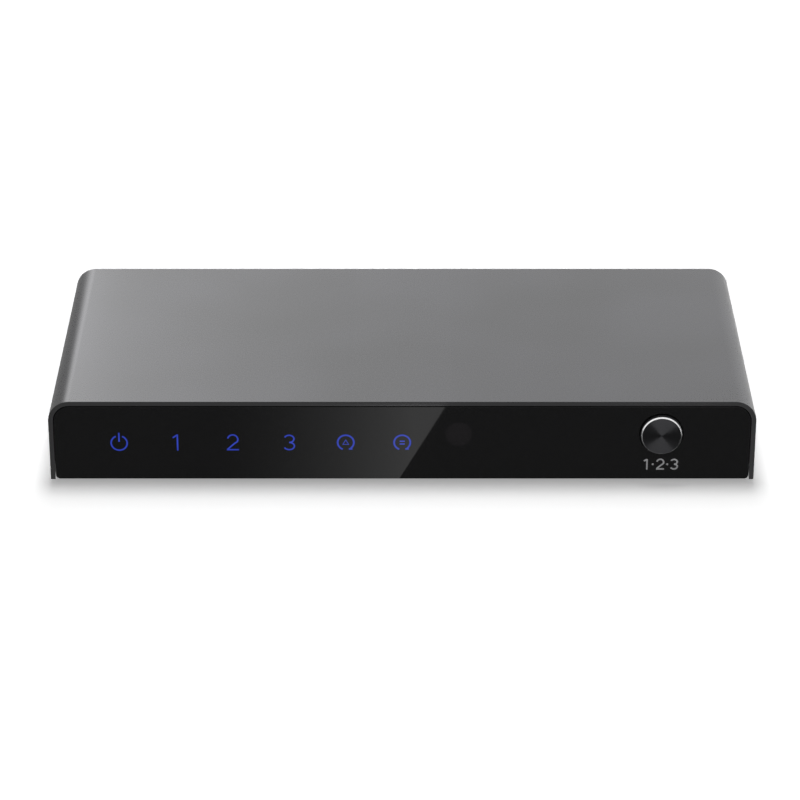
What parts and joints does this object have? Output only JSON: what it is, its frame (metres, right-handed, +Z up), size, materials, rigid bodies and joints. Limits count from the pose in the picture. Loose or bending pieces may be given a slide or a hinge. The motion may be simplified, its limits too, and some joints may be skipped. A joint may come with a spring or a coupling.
{
  "type": "video switch box",
  "caption": "Low, wide metal box with a bent cover and a gloss front panel with lit symbols; a round push button picks which rear video input reaches the output.",
  "frame": {"origin": "on the table under the middle of the box, at the bottom faces of the feet", "axes": "+X to the right seen from the front, along the width; -Y is the way the front panel faces, +Y the way the rear sockets face; +Z up"},
  "size_m": [0.15, 0.0714, 0.0192],
  "materials": {
    "cover_metal": "satin anodised grey",
    "tray_steel": "fine black powder coat",
    "panel_acrylic": "polished black acrylic",
    "tape": "foam tape",
    "film": "frosted film",
    "black_plastic": "moulded",
    "led": "clear lamp body",
    "receiver": "dark infrared-clear plastic",
    "button_metal": "spun face, bright chamfer",
    "switch_steel": "plated sheet",
    "board": "solder resist",
    "pillar_metal": "zinc plated",
    "screw_steel": "nickel plated",
    "foot_rubber": "matte",
    "socket_steel": "nickel plated sheet",
    "contact_gold": "gold flash",
    "pin_metal": "nickel plated",
    "chip_plastic": "moulded epoxy",
    "capacitor_can": "bright can"
  },
  "bodies": {
    "housing": {"top_cover": "cover_metal", "chassis_tray": "tray_steel", "front_panel": "panel_acrylic", "panel_tape": "tape", "icon_film": "film", "light_shade": "black_plastic", "led_1": "led", "led_2": "led", "led_3": "led", "led_4": "led", "led_5": "led", "led_6": "led", "ir_receiver": "receiver", "tact_frame": "switch_steel", "tact_base": "black_plastic", "tact_dome": "switch_steel", "main_board": "board", "standoffs": "pillar_metal", "board_screws": "screw_steel", "cover_screws": "screw_steel", "foot_front_left": "foot_rubber", "foot_front_right": "foot_rubber", "foot_rear_left": "foot_rubber", "foot_rear_right": "foot_rubber", "output_shell": "socket_steel", "output_tongue": "black_plastic", "output_contacts": "contact_gold", "input_1_shell": "socket_steel", "input_1_tongue": "black_plastic", "input_1_contacts": "contact_gold", "input_2_shell": "socket_steel", "input_2_tongue": "black_plastic", "input_2_contacts": "contact_gold", "input_3_shell": "socket_steel", "input_3_tongue": "black_plastic", "input_3_contacts": "contact_gold", "power_body": "black_plastic", "power_pin": "pin_metal", "switch_chip": "chip_plastic", "control_chip": "chip_plastic", "regulator": "chip_plastic", "inductor": "chip_plastic", "crystal": "switch_steel", "capacitors": "capacitor_can"},
    "select_button": {"button_cap": "button_metal", "button_stem": "black_plastic"},
    "switch_plunger": {"tact_plunger": "black_plastic"}
  },
  "joints": [
    {"name": "select_press", "type": "slide", "parent": "housing", "child": "select_button", "axis": [0, 1, 0], "range_m": [0, 0.0004], "stiffness_N_per_m": 3500},
    {"name": "plunger_press", "type": "slide", "parent": "housing", "child": "switch_plunger", "axis": [0, 1, 0], "range_m": [0, 0.0004], "deforming": ["tact_dome"]}
  ],
  "couplings": [
    {"joint": "plunger_press", "follows": "select_press", "ratio": 1}
  ]
}
